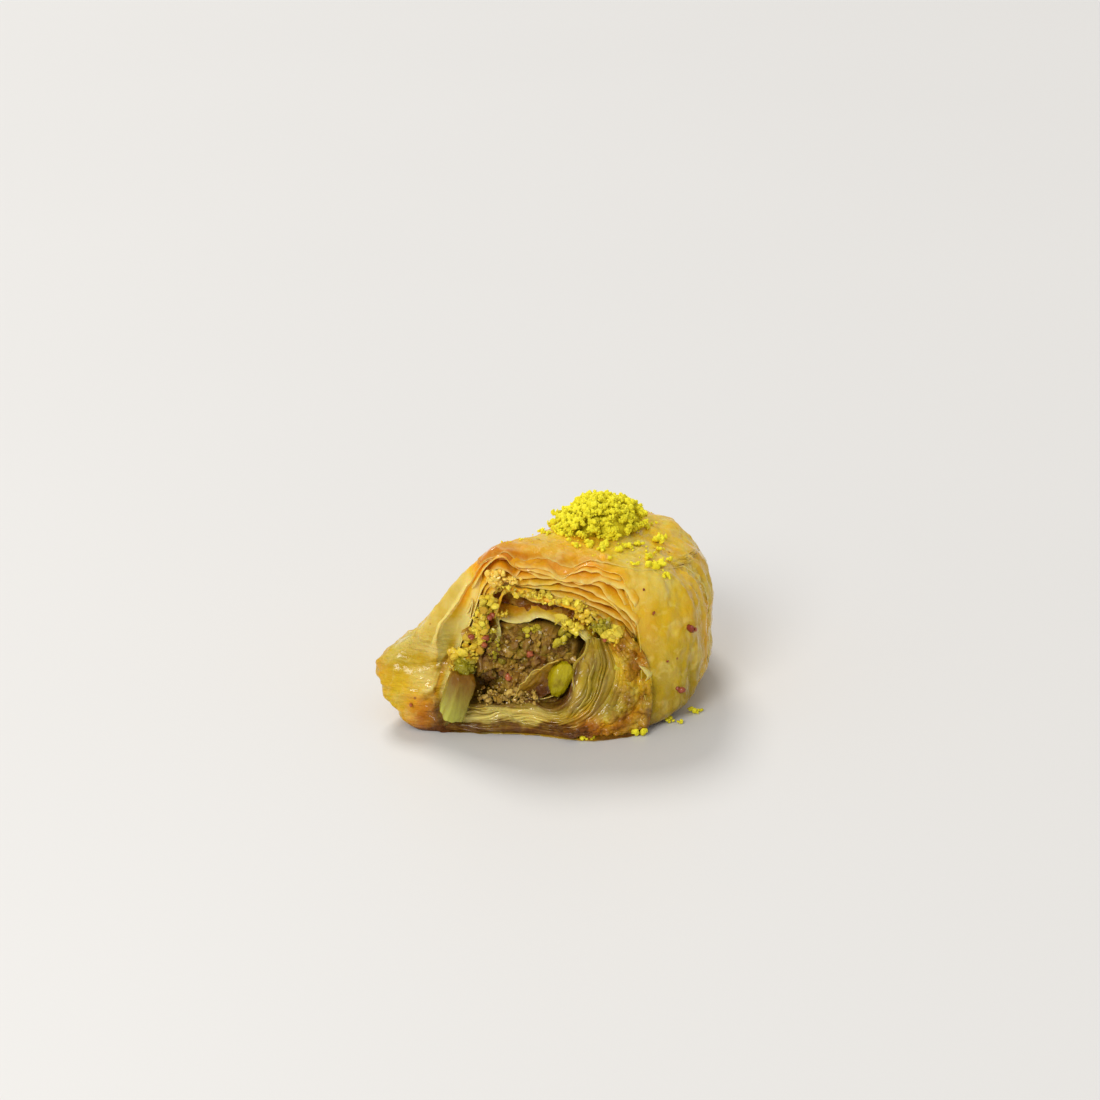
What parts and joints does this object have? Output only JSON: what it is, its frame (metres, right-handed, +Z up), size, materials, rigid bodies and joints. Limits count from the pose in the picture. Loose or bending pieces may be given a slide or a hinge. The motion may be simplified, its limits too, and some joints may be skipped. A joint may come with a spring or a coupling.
{
  "type": "folded baklava piece",
  "caption": "Folded layered pastry parcel with a nut filling showing at its open side and a small heap of ground pistachio on top.",
  "frame": {"origin": "middle of the piece's bounding box, on the surface that it rests on", "axes": "+Z up; -Y out of the open side that shows the filling; +X to the right of someone who looks into it"},
  "size_m": [0.0728, 0.0819, 0.0443],
  "materials": {
    "pastry": null,
    "filling": null,
    "nuts": null,
    "kernel": null,
    "heap": null
  },
  "bodies": {
    "root": {"pastry": "pastry", "filling": "filling", "nut_layer": "nuts", "pistachio_heap": "heap", "kernel_pale": "kernel", "kernel_bright": "kernel", "kernel_green": "kernel"}
  },
  "joints": []
}
